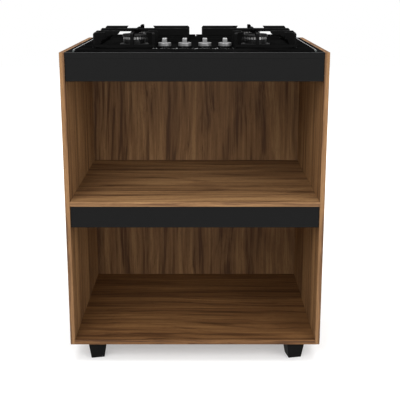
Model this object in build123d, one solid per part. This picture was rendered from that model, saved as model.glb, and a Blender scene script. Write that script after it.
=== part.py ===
from build123d import *
import math
import os

# Cooktop base cabinet: two open niches between wood-grain sides, a black worktop and black front
# rails, and a four-burner gas hob let into the worktop. Millimetres, +Z up, front towards -Y,
# origin on the floor at the middle of the cabinet.

# Carcass
cabinet_width = 650
cabinet_depth = 520
side_height = 758
board_thickness = 12
worktop_thickness = 15
lower_niche_height = 307
rail_height = 55
rail_thickness = 15
rail_recess = 2
rail_end_gap = 1
shelf_back_gap = 0.5
edge_rounding = 0.6

# Back panel, held in grooves
back_thickness = 3
back_inset = 40
back_rail_overlap = 7
hose_notch_width = 60
hose_notch_depth = 30
groove_depth = 5
groove_play = 0.1

# Feet
foot_height = 50
foot_top_width = 49
foot_bottom_width = 34
foot_bottom_rounding = 3
foot_turn = 11
foot_side_inset = 64
front_foot_inset = 42
rear_foot_inset = 64
stud_radius = 4
stud_in_foot = 24
stud_in_insert = 9
insert_radius = 6
insert_height = 10
insert_flange_radius = 9
insert_flange = 1.5

# Screws, caps and dowels through the side panels
screw_radius = 2.4
screw_length = 50
screw_head_radius = 4
screw_head_height = 3
cross_recess_length = 4.4
cross_recess_width = 0.8
cross_recess_depth = 1.5
cap_thickness = 2
dowel_radius = 3
dowel_length = 30
dowel_in_side = 8
fit_play = 0.1
dowel_end_play = 0.5
board_screw_inset = 60
rail_fixing_spread = 14

# Steel angles under the worktop
angle_leg = 25
angle_width = 20
angle_thickness = 2
angle_inset = 70
angle_screw_radius = 1.6
angle_screw_length = 11
angle_screw_head_radius = 3.4
angle_screw_head_height = 1.8
angle_screw_offset = 15

# Hob glass, its cut-out, seal and tray
glass_side_margin = 30
glass_front_inset = 6
glass_back_inset = 4
glass_thickness = 4
glass_corner_radius = 12
glass_edge_chamfer = 1
cutout_overlap = 15
cutout_corner_radius = 8
seal_thickness = 0.5
seal_width = 8
seal_inset = 2
tray_gap = 8
tray_height = 45
tray_wall = 1.2
tray_corner_radius = 10
clamp_thickness = 2
clamp_width = 24
clamp_reach = 26
clamp_drop = 23
clamp_spread = 100
clamp_screw_radius = 2
clamp_screw_length = 10
clamp_screw_head_radius = 4
clamp_screw_head_height = 2.5
clamp_screw_drop = 15

# Burners
burner_offset = 155
front_burner_inset = 140
rear_burner_inset = 155
cup_flange_margin = 2.3
cup_flange_height = 7
cup_flange_bevel = 1.7
cup_neck_radius = 20
cup_bore_radius = 14
cup_floor = 10
glass_hole_play = 0.5
injector_radius = 5
injector_sides = 6
injector_height = 8
injector_orifice = 0.8
crown_radius = 28
crown_height = 17
crown_wall = 5
crown_floor = 4
crown_throat_radius = 11
crown_spigot = 8
spigot_play = 0.3
flame_slots = 24
flame_slot_width = 2.2
flame_slot_height = 8
flame_slot_overrun = 2
cap_overhang = 3
cap_height = 7
cap_top_bevel = 2.5
cap_lip = 2.5
cap_lip_wall = 2.5
cap_lip_play = 0.5
spark_gap = 2.3
spark_turn = 45
spark_radius = 2.2
spark_tip_radius = 0.8
spark_above_glass = 18
spark_tip = 4
spark_below_glass = 20

# Gas taps and knobs
knob_pitch = 50
knob_inset = 84
knob_radius = 16
knob_skirt_height = 8
knob_lift = 5
knob_rounding = 1.5
grip_width = 11
grip_height = 11
grip_rounding = 2.5
pointer_width = 1.6
pointer_depth = 0.6
pointer_length = 9
stem_radius = 4
stem_flat = 1.2
stem_top_wall = 3
stem_play = 0.06
stem_flange_radius = 5.5
stem_flange_height = 1.2
stem_in_tap = 14
knob_travel = 3.5
seat_radius = 7
seat_height = 4
seat_play = 0.1
seat_end_play = 0.2
tap_width = 20
tap_depth = 23
tap_floor = 2
tap_below_glass = 10
tap_neck_radius = 9
tap_neck_height = 7.5
tap_lip_radius = 6.2
tap_lip_height = 1.3
tap_seat_room = 5
tap_bottom_room = 2
knob_seal_radius = 9
knob_seal_gap = 0.4
knob_seal_flange = 1
knob_seal_neck_radius = 7.6

# Gas pipes and ignition under the glass
manifold_width = 14
manifold_height = 12
manifold_end = 15
pedestal_width = 16
pipe_radius = 6
pipe_socket = 5
inlet_back_inset = 66
inlet_radius = 11
inlet_cover = 3
inlet_flange_radius = 15
inlet_flange = 3
inlet_collar_radius = 12
inlet_collar = 2
inlet_spigot_radius = 10.48
inlet_spigot_length = 22
tube_radius = 3
tube_bend = 12
tube_socket = 4
tube_front_run = 16
tube_side_run = 23
module_width = 55
module_depth = 40
module_height = 22
module_offset = 65
module_inset = 240
module_rounding = 2

# Pan supports, one casting on each side
support_side_margin = 40.5
support_front = 58
support_back_inset = 70
support_front_inner = 94
support_rear_inner = 17.5
support_toe_gap = 2
support_height = 39
frame_width = 9
frame_height = 6
frame_corner_radius = 12
frame_hole_radius = 4
support_foot_height = 3.4
support_foot_radius = 4
support_foot_sink = 2
support_foot_inset = 14
finger_thickness = 8
finger_tip_distance = 35
finger_tip_height = 9
finger_tip_slant = 6
finger_root_height = 13
finger_shoulder = 4
leg_width = 13
crossbar_height = 9
crossbar_web_height = 19
crossbar_web_end = 112
corner_post_length = 24
casting_chamfer = 1

# Planes and centres worked out from the sizes above
front_y = -cabinet_depth / 2
back_y = cabinet_depth / 2
half_width = cabinet_width / 2
half_inside = half_width - board_thickness
top_z = foot_height + side_height
bottom_top_z = foot_height + board_thickness
lower_rail_z = bottom_top_z + lower_niche_height
shelf_z = lower_rail_z + rail_height
shelf_top_z = shelf_z + board_thickness
worktop_z = top_z - worktop_thickness
upper_rail_z = worktop_z - rail_height
back_front_y = back_y - back_inset - back_thickness
back_top_z = upper_rail_z + back_rail_overlap
shelf_back_y = back_front_y - shelf_back_gap
glass_z = top_z + seal_thickness
glass_top_z = glass_z + glass_thickness
glass_width = cabinet_width - 2 * glass_side_margin
glass_depth = cabinet_depth - glass_front_inset - glass_back_inset
hob_y = front_y + glass_front_inset + glass_depth / 2
cutout_width = glass_width - 2 * cutout_overlap
cutout_depth = glass_depth - 2 * cutout_overlap
tray_width = cutout_width - 2 * tray_gap
tray_depth = cutout_depth - 2 * tray_gap
tray_z = glass_z - tray_height
tray_floor_z = tray_z + tray_wall
knob_y = front_y + knob_inset
SIDES = {"left": -1, "right": 1}
BURNERS = {
    "front_left": (-burner_offset, front_y + front_burner_inset),
    "front_right": (burner_offset, front_y + front_burner_inset),
    "rear_left": (-burner_offset, back_y - rear_burner_inset),
    "rear_right": (burner_offset, back_y - rear_burner_inset),
}
KNOB_ORDER = ("rear_left", "front_left", "front_right", "rear_right")
first_knob_x = -(len(KNOB_ORDER) - 1) / 2 * knob_pitch
KNOBS = {name: first_knob_x + place * knob_pitch for place, name in enumerate(KNOB_ORDER)}


def block(x0, x1, y0, y1, z0, z1):
    """A box between two corners."""
    return Pos((x0 + x1) / 2, (y0 + y1) / 2, (z0 + z1) / 2) * Box(x1 - x0, y1 - y0, z1 - z0)


def rod_z(x, y, z0, z1, radius):
    """An upright round bar."""
    return Pos(x, y, (z0 + z1) / 2) * Cylinder(radius, z1 - z0)


def rod_x(x0, x1, y, z, radius):
    """A round bar along X, its ends given in either order."""
    return Pos((x0 + x1) / 2, y, z) * Rot(0, 90, 0) * Cylinder(radius, abs(x1 - x0))


def rod_y(x, y0, y1, z, radius):
    """A round bar along Y."""
    return Pos(x, (y0 + y1) / 2, z) * Rot(90, 0, 0) * Cylinder(radius, y1 - y0)


def rounded_slab(width, depth, y, z0, z1, radius):
    """A plate centred on X with upright rounded corners."""
    outline = Pos(0, y, z0) * RectangleRounded(width, depth, radius)
    return extrude(outline, z1 - z0)


def soft_board(x0, x1, y0, y1, z0, z1):
    """A board with its arrises eased."""
    board = block(x0, x1, y0, y1, z0, z1)
    return fillet(board.edges(), edge_rounding)


def cut(shape, tools):
    """The shape with every tool taken away."""
    for tool in tools:
        shape = shape - tool
    return shape


def save(name, *solids):
    """One node: a single solid or a group of separate ones."""
    pieces = [solid for shape in solids for solid in shape.solids()]
    shape = pieces[0] if len(pieces) == 1 else Compound(children=pieces)
    export_step(shape, f"parts/{name}.step")


# Where the side panels are fixed to each board: (y, z) of the screws and of the dowels.
bottom_mid_z = foot_height + board_thickness / 2
shelf_mid_z = shelf_z + board_thickness / 2
worktop_mid_z = worktop_z + worktop_thickness / 2
front_strip_y = (front_y + rail_recess + hob_y - cutout_depth / 2) / 2
rear_strip_y = (hob_y + cutout_depth / 2 + back_y) / 2
front_rail_y = front_y + rail_recess + rail_thickness / 2
rear_rail_y = back_y - rail_thickness / 2
RAILS = {
    "upper_front_rail": (front_rail_y, upper_rail_z),
    "lower_front_rail": (front_rail_y, lower_rail_z),
    "upper_rear_rail": (rear_rail_y, upper_rail_z),
}
first_screw_y = front_y + board_screw_inset
screw_spots = {
    "bottom_panel": [(first_screw_y, bottom_mid_z), (back_y - board_screw_inset, bottom_mid_z)],
    "middle_shelf": [(first_screw_y, shelf_mid_z), (shelf_back_y - board_screw_inset, shelf_mid_z)],
    "worktop": [(front_strip_y, worktop_mid_z), (rear_strip_y, worktop_mid_z)],
}
dowel_spots = {
    "bottom_panel": [((front_y + back_y) / 2, bottom_mid_z)],
    "middle_shelf": [((front_y + shelf_back_y) / 2, shelf_mid_z)],
    "worktop": [(hob_y, worktop_mid_z)],
}
for rail, (rail_y, rail_z) in RAILS.items():
    rail_mid_z = rail_z + rail_height / 2
    screw_spots[rail] = [(rail_y, rail_mid_z - rail_fixing_spread)]
    dowel_spots[rail] = [(rail_y, rail_mid_z + rail_fixing_spread)]
all_screw_spots = [spot for spots in screw_spots.values() for spot in spots]
all_dowel_spots = [spot for spots in dowel_spots.values() for spot in spots]
head_x = half_width - cap_thickness - screw_head_height
screw_tip_x = head_x - screw_length
dowel_outer_x = half_inside + dowel_in_side
dowel_inner_x = dowel_outer_x - dowel_length


def end_holes(name):
    """Pilot and dowel holes in both ends of a board."""
    tools = []
    for side in SIDES.values():
        for y, z in screw_spots[name]:
            tip = screw_tip_x - fit_play
            tools.append(rod_x(side * half_inside, side * tip, y, z, screw_radius + fit_play))
        for y, z in dowel_spots[name]:
            tip = dowel_inner_x - dowel_end_play
            tools.append(rod_x(side * half_inside, side * tip, y, z, dowel_radius + fit_play))
    return tools


def angle_places():
    """Each steel angle: its side and its middle along Y."""
    return [(side, y) for side in SIDES.values() for y in (front_y + angle_inset, back_y - angle_inset)]


def angle_screw_holes(radius, extra):
    """The bores of the steel angles' screws, upwards into the worktop and sideways into the side panel."""
    tools = []
    reach = angle_screw_length + extra
    for side, y in angle_places():
        tools.append(rod_z(side * (half_inside - angle_screw_offset), y, worktop_z - angle_thickness,
                           worktop_z - angle_thickness + reach, radius))
        wall = half_inside - angle_thickness
        tools.append(rod_x(side * wall, side * (wall + reach), y, worktop_z - angle_screw_offset, radius))
    return tools


def side_panel(side):
    """A side panel with counterbored screw holes, blind dowel holes and the back panel's groove."""
    inner, outer = sorted((side * half_inside, side * half_width))
    panel = soft_board(inner, outer, front_y, back_y, foot_height, top_z)
    tools = []
    for y, z in all_screw_spots:
        tools.append(rod_x(side * half_inside, side * half_width, y, z, screw_radius + fit_play))
        tools.append(rod_x(side * head_x, side * half_width, y, z, screw_head_radius + fit_play))
    for y, z in all_dowel_spots:
        tip = dowel_outer_x + dowel_end_play
        tools.append(rod_x(side * half_inside, side * tip, y, z, dowel_radius + fit_play))
    groove = sorted((side * half_inside, side * (half_inside + groove_depth)))
    tools.append(block(*groove, back_front_y - groove_play, back_front_y + back_thickness + groove_play,
                       bottom_top_z - groove_depth, back_top_z + groove_play))
    tools.extend(angle_screw_holes(angle_screw_radius + fit_play, fit_play))
    return cut(panel, tools)


def bottom_panel():
    """The cabinet's floor, with sockets for the foot inserts and the back panel's groove."""
    panel = soft_board(-half_inside, half_inside, front_y, back_y, foot_height, bottom_top_z)
    tools = end_holes("bottom_panel")
    for x, y in foot_places().values():
        tools.append(rod_z(x, y, foot_height, foot_height + insert_height, insert_radius + fit_play))
        tools.append(rod_z(x, y, foot_height, foot_height + insert_flange, insert_flange_radius + fit_play))
    tools.append(block(-half_inside, half_inside, back_front_y - groove_play,
                       back_front_y + back_thickness + groove_play,
                       bottom_top_z - groove_depth, bottom_top_z))
    return cut(panel, tools)


def middle_shelf():
    """The shelf between the niches, stopping just short of the back panel."""
    panel = soft_board(-half_inside, half_inside, front_y, shelf_back_y, shelf_z, shelf_top_z)
    return cut(panel, end_holes("middle_shelf"))


def worktop():
    """The black top between the sides, with the hob's cut-out."""
    panel = soft_board(-half_inside, half_inside, front_y + rail_recess, back_y, worktop_z, top_z)
    hole = rounded_slab(cutout_width, cutout_depth, hob_y, worktop_z, top_z, cutout_corner_radius)
    holes = angle_screw_holes(angle_screw_radius + fit_play, fit_play)
    return cut(panel, [hole] + end_holes("worktop") + holes)


def rail(name):
    """A black rail on edge, a little shorter than the space between the sides."""
    y, z = RAILS[name]
    end_x = half_inside - rail_end_gap
    board = soft_board(-end_x, end_x, y - rail_thickness / 2, y + rail_thickness / 2, z, z + rail_height)
    return cut(board, end_holes(name))


def back_panel():
    """Thin board that closes both niches, held in grooves, with a notch for the gas hose."""
    reach = half_inside + groove_depth - groove_play
    back_rear_y = back_front_y + back_thickness
    panel = block(-reach, reach, back_front_y, back_rear_y, bottom_top_z - groove_depth + groove_play,
                  back_top_z)
    half_notch = hose_notch_width / 2
    notch_z = back_top_z - hose_notch_depth
    return panel - block(-half_notch, half_notch, back_front_y, back_rear_y, notch_z, back_top_z)


def foot_places():
    """The four feet: name and middle."""
    x = half_width - foot_side_inset
    ends = {"front": front_y + front_foot_inset, "rear": back_y - rear_foot_inset}
    return {f"{end}_{side}": (sign * x, y) for end, y in ends.items() for side, sign in SIDES.items()}


def foot(x, y):
    """A tapered square foot, turned a little about its stud."""
    base = Rectangle(foot_bottom_width, foot_bottom_width)
    top = Pos(0, 0, foot_height) * Rectangle(foot_top_width, foot_top_width)
    body = loft([base, top])
    low_edges = body.edges().group_by(Axis.Z)[0]
    body = fillet(low_edges, foot_bottom_rounding)
    body = body - rod_z(0, 0, foot_height - stud_in_foot, foot_height, stud_radius + fit_play)
    return Pos(x, y, 0) * Rot(0, 0, foot_turn) * body


def foot_stud(x, y):
    """The threaded stud that joins a foot to its insert."""
    return rod_z(x, y, foot_height - stud_in_foot, foot_height + stud_in_insert, stud_radius)


def foot_insert(x, y):
    """The flanged sleeve in the cabinet's floor that takes a foot's stud."""
    sleeve = rod_z(x, y, foot_height, foot_height + insert_height, insert_radius)
    sleeve = sleeve + rod_z(x, y, foot_height, foot_height + insert_flange, insert_flange_radius)
    return sleeve - rod_z(x, y, foot_height, foot_height + stud_in_insert, stud_radius + fit_play)


def side_screw(side, y, z):
    """A carcass screw through a side panel, with a cross recess in its head."""
    head_end = head_x + screw_head_height
    shank = rod_x(side * head_x, side * screw_tip_x, y, z, screw_radius)
    head = rod_x(side * head_x, side * head_end, y, z, screw_head_radius)
    mid = side * (head_end - cross_recess_depth / 2)
    bar = Pos(mid, y, z) * Box(cross_recess_depth, cross_recess_length, cross_recess_width)
    cross = Pos(mid, y, z) * Box(cross_recess_depth, cross_recess_width, cross_recess_length)
    return shank + head - bar - cross


def screw_cap(side, y, z):
    """The plug that covers a screw, flush with the side panel."""
    return rod_x(side * (half_width - cap_thickness), side * half_width, y, z, screw_head_radius)


def dowel(side, y, z):
    """A beech dowel between a side panel and a board."""
    return rod_x(side * dowel_outer_x, side * dowel_inner_x, y, z, dowel_radius)


def corner_angle(side, y):
    """A steel angle that ties the worktop to a side panel."""
    wall, tip = half_inside, half_inside - angle_leg
    flat = block(*sorted((side * wall, side * tip)), y - angle_width / 2, y + angle_width / 2,
                 worktop_z - angle_thickness, worktop_z)
    upright = block(*sorted((side * wall, side * (wall - angle_thickness))), y - angle_width / 2,
                    y + angle_width / 2, worktop_z - angle_leg, worktop_z)
    hole = angle_screw_radius + fit_play
    up = rod_z(side * (half_inside - angle_screw_offset), y, worktop_z - angle_thickness, worktop_z, hole)
    across = rod_x(side * wall, side * (wall - angle_thickness), y, worktop_z - angle_screw_offset, hole)
    return flat + upright - up - across


def angle_screws():
    """Pan-head screws of the steel angles."""
    screws = []
    head = angle_screw_head_height
    for side, y in angle_places():
        x = side * (half_inside - angle_screw_offset)
        low = worktop_z - angle_thickness
        screws.append(rod_z(x, y, low, low + angle_screw_length, angle_screw_radius)
                      + rod_z(x, y, low - head, low, angle_screw_head_radius))
        wall = half_inside - angle_thickness
        z = worktop_z - angle_screw_offset
        screws.append(rod_x(side * wall, side * (wall + angle_screw_length), y, z, angle_screw_radius)
                      + rod_x(side * (wall - head), side * wall, y, z, angle_screw_head_radius))
    return screws


def hob_glass():
    """The black glass, with holes for the burners, the spark pins and the tap stems."""
    plate = rounded_slab(glass_width, glass_depth, hob_y, glass_z, glass_top_z, glass_corner_radius)
    plate = chamfer(plate.faces().sort_by(Axis.Z)[-1].edges(), glass_edge_chamfer)
    tools = []
    for x, y in BURNERS.values():
        tools.append(rod_z(x, y, glass_z, glass_top_z, cup_neck_radius + glass_hole_play))
        spark_x, spark_y = spark_place(x, y)
        tools.append(rod_z(spark_x, spark_y, glass_z, glass_top_z, spark_radius + glass_hole_play))
    for x in KNOBS.values():
        tools.append(rod_z(x, knob_y, glass_z, glass_top_z, knob_seal_neck_radius + fit_play))
    return cut(plate, tools)


def hob_seal():
    """The foam ring between glass and worktop."""
    width, depth = glass_width - 2 * seal_inset, glass_depth - 2 * seal_inset
    outer = rounded_slab(width, depth, hob_y, top_z, glass_z, glass_corner_radius - seal_inset)
    inner_width, inner_depth = width - 2 * seal_width, depth - 2 * seal_width
    return outer - block(-inner_width / 2, inner_width / 2, hob_y - inner_depth / 2, hob_y + inner_depth / 2,
                         top_z, glass_z)


def clamp_places():
    """Each hob clamp: its side and its middle along Y."""
    return [(side, y) for side in SIDES.values() for y in (hob_y - clamp_spread, hob_y + clamp_spread)]


def hob_tray():
    """The steel pan under the glass that holds the taps, pipes and burner cups."""
    outer = rounded_slab(tray_width, tray_depth, hob_y, tray_z, glass_z, tray_corner_radius)
    inner = rounded_slab(tray_width - 2 * tray_wall, tray_depth - 2 * tray_wall, hob_y, tray_floor_z, glass_z,
                         tray_corner_radius - tray_wall)
    tools = [inner, rod_z(0, inlet_y, tray_z, tray_floor_z, inlet_collar_radius + fit_play)]
    for side, y in clamp_places():
        wall = tray_width / 2
        tools.append(rod_x(side * wall, side * (wall - tray_wall), y, worktop_z - clamp_screw_drop,
                           clamp_screw_radius + fit_play))
    return cut(outer, tools)


def hob_clamp(side, y):
    """A bent clip on the tray's wall that grips the worktop from below."""
    wall = tray_width / 2
    near, far = y - clamp_width / 2, y + clamp_width / 2
    upright = block(*sorted((side * wall, side * (wall + clamp_thickness))), near, far,
                    worktop_z - clamp_drop, worktop_z)
    flat = block(*sorted((side * wall, side * (wall + clamp_reach))), near, far,
                 worktop_z - clamp_thickness, worktop_z)
    hole = rod_x(side * wall, side * (wall + clamp_thickness), y, worktop_z - clamp_screw_drop,
                 clamp_screw_radius + fit_play)
    return upright + flat - hole


def clamp_screw(side, y):
    """The screw that draws a clip against the tray."""
    face = tray_width / 2 + clamp_thickness
    z = worktop_z - clamp_screw_drop
    shank = rod_x(side * face, side * (face - clamp_screw_length), y, z, clamp_screw_radius)
    return shank + rod_x(side * face, side * (face + clamp_screw_head_height), y, z, clamp_screw_head_radius)


def spark_place(x, y):
    """The spark pin stands on the burner's side that faces the hob's back and middle."""
    inward = -1 if x > 0 else 1
    turn = math.radians(spark_turn)
    return x + inward * spark_distance * math.cos(turn), y + spark_distance * math.sin(turn)


spark_distance = crown_radius + spark_gap + spark_radius
cup_flange_radius = spark_distance + spark_radius + cup_flange_margin
cap_radius = crown_radius + cap_overhang
cup_top_z = glass_top_z + cup_flange_height
crown_top_z = cup_top_z + crown_height


def burner_cup(name):
    """The gas cup of a burner: it stands on the tray, its flange on the glass, its tube in a socket."""
    x, y = BURNERS[name]
    cup = rod_z(x, y, tray_floor_z, cup_top_z, cup_neck_radius)
    flange = rod_z(x, y, glass_top_z, cup_top_z, cup_flange_radius)
    flange = chamfer(flange.edges().group_by(Axis.Z)[-1], cup_flange_bevel)
    bore = rod_z(x, y, tray_floor_z + cup_floor, cup_top_z, cup_bore_radius)
    spark_x, spark_y = spark_place(x, y)
    spark_hole = rod_z(spark_x, spark_y, glass_top_z, cup_top_z, spark_radius + fit_play)
    hole = tube_radius + fit_play
    if name.startswith("front"):
        socket = rod_y(x, y - cup_neck_radius, y - tube_stop, pipe_z, hole)
    else:
        outward = math.copysign(1, x)
        socket = rod_x(x - outward * cup_neck_radius, x - outward * tube_stop, y, pipe_z, hole)
    return cut(cup + flange, [bore, spark_hole, socket])


def injector(x, y):
    """The brass gas jet on the floor of a cup."""
    low = tray_floor_z + cup_floor
    hexagon = Pos(x, y, low) * RegularPolygon(injector_radius, injector_sides)
    return extrude(hexagon, injector_height) - rod_z(x, y, low, low + injector_height, injector_orifice)


def burner_crown(x, y):
    """The flame spreader: a slotted wall round a gas throat, with a spigot that centres it in its cup."""
    ring = rod_z(x, y, cup_top_z, crown_top_z, crown_radius)
    spigot = rod_z(x, y, cup_top_z - crown_spigot, cup_top_z, cup_bore_radius - spigot_play)
    room = rod_z(x, y, cup_top_z + crown_floor, crown_top_z, crown_radius - crown_wall)
    throat = rod_z(x, y, cup_top_z - crown_spigot, crown_top_z, crown_throat_radius)
    slot = Box(2 * (crown_wall + flame_slot_overrun), flame_slot_width, flame_slot_height)
    slot_z = crown_top_z - flame_slot_height / 2
    slots = [Pos(x, y, slot_z) * Rot(0, 0, turn * 360 / flame_slots) * Pos(crown_radius, 0, 0) * slot
             for turn in range(flame_slots)]
    return cut(ring + spigot, [room, throat] + slots)


def burner_cap(x, y):
    """The enamelled lid of a burner, located by a lip inside the crown's wall."""
    lid = rod_z(x, y, crown_top_z, crown_top_z + cap_height, cap_radius)
    lid = chamfer(lid.edges().group_by(Axis.Z)[-1], cap_top_bevel)
    lip_radius = crown_radius - crown_wall - cap_lip_play
    lip = rod_z(x, y, crown_top_z - cap_lip, crown_top_z, lip_radius)
    lip = lip - rod_z(x, y, crown_top_z - cap_lip, crown_top_z, lip_radius - cap_lip_wall)
    return lid + lip


def spark_electrode(x, y):
    """A ceramic pin with a wire tip beside the burner."""
    pin_x, pin_y = spark_place(x, y)
    neck_z = glass_top_z + spark_above_glass
    pin = rod_z(pin_x, pin_y, glass_z - spark_below_glass, neck_z, spark_radius)
    return pin + rod_z(pin_x, pin_y, neck_z, neck_z + spark_tip, spark_tip_radius)


tap_top_z = glass_z - tap_below_glass
neck_top_z = tap_top_z + tap_neck_height
seat_top_z = neck_top_z - tap_lip_height - seat_end_play
seat_z = seat_top_z - seat_height
seat_floor_z = seat_z - tap_seat_room
stem_z = seat_floor_z - stem_in_tap + knob_travel
tap_bore_z = stem_z - knob_travel - tap_bottom_room
tap_z = tap_bore_z - tap_floor
knob_z = glass_top_z + knob_lift
knob_top_z = knob_z + knob_skirt_height + grip_height
stem_top_z = knob_top_z - stem_top_wall


def gas_valve(x):
    """A gas tap: a block with a neck that holds the sprung seat of the stem."""
    body = block(x - tap_width / 2, x + tap_width / 2, knob_y - tap_depth / 2, knob_y + tap_depth / 2,
                 tap_z, tap_top_z)
    neck = rod_z(x, knob_y, tap_top_z, neck_top_z, tap_neck_radius)
    bore = rod_z(x, knob_y, tap_bore_z, seat_floor_z, stem_radius + stem_play)
    seat_room = rod_z(x, knob_y, seat_floor_z, neck_top_z - tap_lip_height, seat_radius + seat_play)
    mouth = rod_z(x, knob_y, neck_top_z - tap_lip_height, neck_top_z, tap_lip_radius)
    return cut(body + neck, [bore, seat_room, mouth])


def spring_seat(x):
    """The sprung washer under the stem's flange; it goes down with the knob and doesn't turn."""
    washer = rod_z(x, knob_y, seat_z, seat_top_z, seat_radius)
    return washer - rod_z(x, knob_y, seat_z, seat_top_z, stem_radius + stem_play)


def flatted_bar(radius, flat, height):
    """A round bar with one flat along it, standing on the origin."""
    section = Circle(radius) - Pos(0, radius - flat / 2) * Rectangle(2 * radius, flat)
    return extrude(section, height)


def valve_stem(x):
    """The stem of a tap: round in the tap, flatted in the knob, with a flange on the sprung seat."""
    flange_top = seat_top_z + stem_flange_height
    stem = rod_z(x, knob_y, stem_z, knob_z, stem_radius)
    stem = stem + rod_z(x, knob_y, seat_top_z, flange_top, stem_flange_radius)
    return stem + Pos(x, knob_y, knob_z) * flatted_bar(stem_radius, stem_flat, stem_top_z - knob_z)


def knob(x):
    """A round skirt with a bar grip across it and a pointer line; its bore is flatted like the stem."""
    skirt = Cylinder(knob_radius, knob_skirt_height, align=(Align.CENTER, Align.CENTER, Align.MIN))
    skirt = fillet(skirt.edges().group_by(Axis.Z)[-1], knob_rounding)
    half = knob_radius - knob_rounding
    side = math.sqrt(half ** 2 - (grip_width / 2) ** 2)
    outline = Rectangle(grip_width, 2 * side)
    grip = extrude(Pos(0, 0, knob_skirt_height / 2) * outline, grip_height + knob_skirt_height / 2)
    grip = fillet(grip.edges().group_by(Axis.Z)[-1], grip_rounding)
    bore = flatted_bar(stem_radius + stem_play, stem_flat, stem_top_z - knob_z + fit_play)
    top = knob_skirt_height + grip_height
    line_end = -side + grip_rounding
    groove = block(-pointer_width / 2, pointer_width / 2, line_end, line_end + pointer_length,
                   top - pointer_depth, top)
    return Pos(x, knob_y, knob_z) * cut(skirt + grip, [bore, groove])


def knob_seal(x):
    """The rubber collar where a stem comes through the glass."""
    collar = rod_z(x, knob_y, glass_z, glass_top_z, knob_seal_neck_radius)
    collar = collar + rod_z(x, knob_y, glass_top_z, glass_top_z + knob_seal_flange, knob_seal_radius)
    return collar - rod_z(x, knob_y, glass_z, glass_top_z + knob_seal_flange, stem_radius + knob_seal_gap)


manifold_y = knob_y + tap_depth / 2
manifold_z = tap_top_z - manifold_height
pipe_z = manifold_z + manifold_height / 2
tube_stop = cup_neck_radius - tube_socket
inlet_y = back_y - inlet_back_inset
pipe_end_y = inlet_y - inlet_radius + pipe_socket


def gas_manifold():
    """The gas bar behind the taps, on two pedestals, with the pipe that feeds it."""
    end_x = KNOBS["rear_right"] + manifold_end
    start = manifold_y + manifold_width
    bar = block(-end_x, end_x, manifold_y, start, manifold_z, manifold_z + manifold_height)
    for x in (-knob_pitch, knob_pitch):
        bar = bar + block(x - pedestal_width / 2, x + pedestal_width / 2, manifold_y, start,
                          tray_floor_z, manifold_z)
    return bar + rod_y(0, start, pipe_end_y, pipe_z, pipe_radius)


def gas_inlet():
    """The elbow at the hob's back, with a socket for the feed pipe and the hose's spigot under the tray."""
    body = rod_z(0, inlet_y, tray_floor_z, pipe_z + pipe_radius + inlet_cover, inlet_radius)
    body = body + rod_z(0, inlet_y, tray_floor_z, tray_floor_z + inlet_flange, inlet_flange_radius)
    collar_z = tray_z - inlet_collar
    body = body + rod_z(0, inlet_y, collar_z, tray_floor_z, inlet_collar_radius)
    body = body + rod_z(0, inlet_y, collar_z - inlet_spigot_length, collar_z, inlet_spigot_radius)
    return body - rod_y(0, inlet_y - inlet_radius, pipe_end_y, pipe_z, pipe_radius + fit_play)


def gas_tube(side, burner_end):
    """A burner's gas tube: outer taps feed the back burners, inner taps the front ones."""
    x, y = BURNERS[f"{burner_end}_{'right' if side > 0 else 'left'}"]
    tap_x = KNOBS[f"{burner_end}_right"]
    if burner_end == "front":
        tap_face = knob_y - tap_depth / 2
        run = tap_face - tube_front_run
        route = [(tap_x, tap_face), (tap_x, run), (abs(x), run), (abs(x), y - tube_stop)]
    else:
        tap_face = tap_x + tap_width / 2
        run = tap_face + tube_side_run
        route = [(tap_face, knob_y), (run, knob_y), (run, y), (abs(x) - tube_stop, y)]
    path = FilletPolyline(*[(side * px, py, pipe_z) for px, py in route], radius=tube_bend)
    return sweep(Plane(origin=path @ 0, z_dir=path % 0) * Circle(tube_radius), path=path)


def ignition_module():
    """The spark generator on the tray's floor."""
    y = front_y + module_inset
    case = block(module_offset - module_width / 2, module_offset + module_width / 2, y - module_depth / 2,
                 y + module_depth / 2, tray_floor_z, tray_floor_z + module_height)
    return fillet(case.edges().filter_by(Axis.Z), module_rounding)


support_outer = glass_width / 2 - support_side_margin
support_front_y = front_y + support_front
support_rear_y = back_y - support_back_inset
frame_z = glass_top_z + support_foot_height
frame_top_z = frame_z + frame_height
support_top_z = glass_top_z + support_height
frame_outer_mid = support_outer - frame_width / 2
frame_front_mid = support_front_y + frame_width / 2
frame_rear_mid = support_rear_y - frame_width / 2
frame_step_mid = (BURNERS["front_right"][1] + BURNERS["rear_right"][1]) / 2
support_step_y = frame_step_mid - frame_width / 2
frame_front_inner_mid = support_front_inner + frame_width / 2
frame_rear_inner_mid = support_rear_inner + frame_width / 2


def support_frame():
    """The low L-shaped frame of a right-hand pan support; a toe at its back reaches towards the left one."""
    corners = [(support_front_inner, support_front_y), (support_outer, support_front_y),
               (support_outer, support_rear_y), (support_rear_inner, support_rear_y),
               (support_rear_inner, support_step_y), (support_front_inner, support_step_y)]
    outline = make_face(Polyline(*corners, close=True))
    hole = offset(outline, -frame_width, kind=Kind.INTERSECTION)
    outline = fillet(outline.vertices(), frame_corner_radius)
    hole = fillet(hole.vertices(), frame_hole_radius)
    ring = extrude(Pos(0, 0, frame_z) * (outline - hole), frame_height)
    toe_end = support_rear_inner + frame_corner_radius
    toe = block(support_toe_gap / 2, toe_end, support_rear_y - frame_width, support_rear_y, frame_z,
                frame_top_z)
    return ring + toe


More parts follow.
